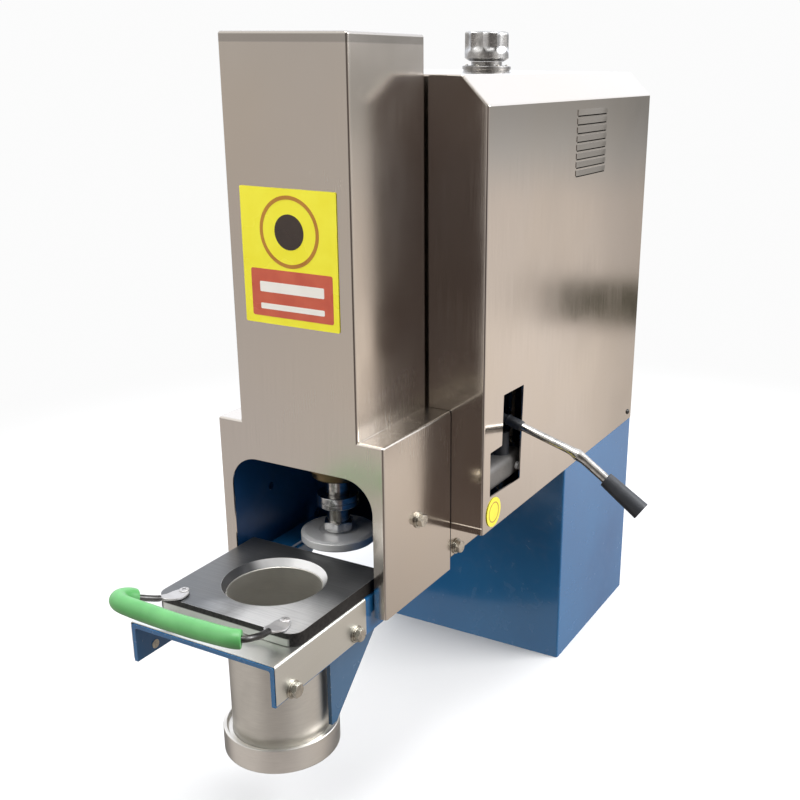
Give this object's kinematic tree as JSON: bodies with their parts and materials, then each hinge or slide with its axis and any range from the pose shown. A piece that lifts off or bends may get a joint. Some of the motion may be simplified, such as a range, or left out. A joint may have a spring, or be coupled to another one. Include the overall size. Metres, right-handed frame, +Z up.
{
  "type": "hydraulic bench press",
  "caption": "Bench-top hydraulic press with a sliding tray, pressing tube and die ring, a stainless tower and casing, and a blue box base.",
  "frame": {"origin": "centre of the underside of the box base, on the floor", "axes": "+Z up, -Y towards the front, where the tray and the ram are, +X to the right seen from the front, on the lever's side"},
  "size_m": [0.4057, 0.7346, 0.7093],
  "materials": {
    "stainless": "brushed",
    "blue_paint": "gloss paint",
    "dark_steel": "machined, oiled",
    "bright_steel": "zinc-plated",
    "cast_grey": "satin paint",
    "chrome": "polished",
    "bronze": "turned",
    "copper": "varnished winding",
    "green_grip": "satin sleeve",
    "green_switch": "gloss",
    "black_plastic": "satin",
    "label_film": "printed film"
  },
  "bodies": {
    "frame": {"front_cover": "stainless", "cheek_plate_left": "blue_paint", "cheek_plate_right": "blue_paint", "head_plate": "blue_paint", "arm_cover": "stainless", "table_channel": "blue_paint", "table_cladding": "stainless", "gusset_left": "blue_paint", "gusset_right": "blue_paint", "housing_bolt_left": "bright_steel", "housing_bolt_right": "bright_steel", "arm_bolt_left": "bright_steel", "arm_bolt_right": "bright_steel", "table_bolt_left_front": "bright_steel", "table_bolt_left_rear": "bright_steel", "table_bolt_right_front": "bright_steel", "table_bolt_right_rear": "bright_steel", "cylinder_barrel": "dark_steel", "cylinder_gland": "bronze", "cylinder_cap": "dark_steel", "rear_casing": "stainless", "back_panel": "stainless", "base_shell": "blue_paint", "base_plate": "dark_steel", "cable_gland": "black_plastic", "oil_tank": "cast_grey", "breather_neck": "bright_steel", "motor_shell": "cast_grey", "motor_stator": "copper", "fan_cover": "black_plastic", "pump_body": "cast_grey", "valve_body": "cast_grey", "lever_pin": "bright_steel", "pipe_cap": "bright_steel", "pipe_rod": "bright_steel", "pipe_pump": "bright_steel", "pipe_tank": "bright_steel", "switch_housing": "black_plastic", "front_label": "label_film", "round_label": "label_film"},
    "carriage": {"tray_plate": "dark_steel", "pressing_tube": "stainless", "handle_rod": "dark_steel", "handle_grip": "green_grip", "handle_screw_left": "bright_steel", "handle_screw_right": "bright_steel"},
    "die": {"die_ring": "stainless", "die_plate": "bright_steel"},
    "ram": {"ram_rod": "chrome", "ram_collar": "bright_steel", "ram_nut": "bright_steel", "ram_disc": "stainless", "cylinder_piston": "dark_steel"},
    "lever": {"lever_rod": "chrome", "lever_grip": "black_plastic"},
    "spool": {"valve_spool": "chrome"},
    "filler_cap": {"breather_cap": "chrome"},
    "rotor": {"motor_rotor": "dark_steel", "motor_fan": "black_plastic"},
    "rocker": {"switch_rocker": "green_switch"}
  },
  "joints": [
    {"name": "tray_slide", "type": "slide", "parent": "frame", "child": "carriage", "axis": [0, 1, 0], "range_m": [0, 0.1015]},
    {"name": "die_turn", "type": "hinge", "parent": "carriage", "child": "die", "pos_m": [0, -0.474, 0.082], "axis": [0, 0, 1], "range_deg": [0, 90]},
    {"name": "ram_slide", "type": "slide", "parent": "frame", "child": "ram", "axis": [0, 0, -1], "range_m": [0, 0.15]},
    {"name": "lever_tilt", "type": "hinge", "parent": "frame", "child": "lever", "pos_m": [0.096, -0.2325, 0.342], "axis": [0, 1, 0], "range_deg": [-12, 12]},
    {"name": "spool_slide", "type": "slide", "parent": "frame", "child": "spool", "axis": [0, 0, 1], "range_m": [-0.0026, 0.0026]},
    {"name": "cap_turn", "type": "hinge", "parent": "frame", "child": "filler_cap", "pos_m": [0.004, -0.0785, 0.68], "axis": [0, 0, 1], "range_deg": [0, 90]},
    {"name": "rotor_spin", "type": "hinge", "parent": "frame", "child": "rotor", "pos_m": [0, 0.0005, 0.086], "axis": [1, 0, 0], "continuous": true},
    {"name": "rocker_tilt", "type": "hinge", "parent": "frame", "child": "rocker", "pos_m": [-0.135, -0.2215, 0.319], "axis": [0, 1, 0], "range_deg": [0, 14]}
  ],
  "couplings": [
    {"joint": "spool_slide", "follows": "lever_tilt", "m_per_rad": -0.012}
  ]
}
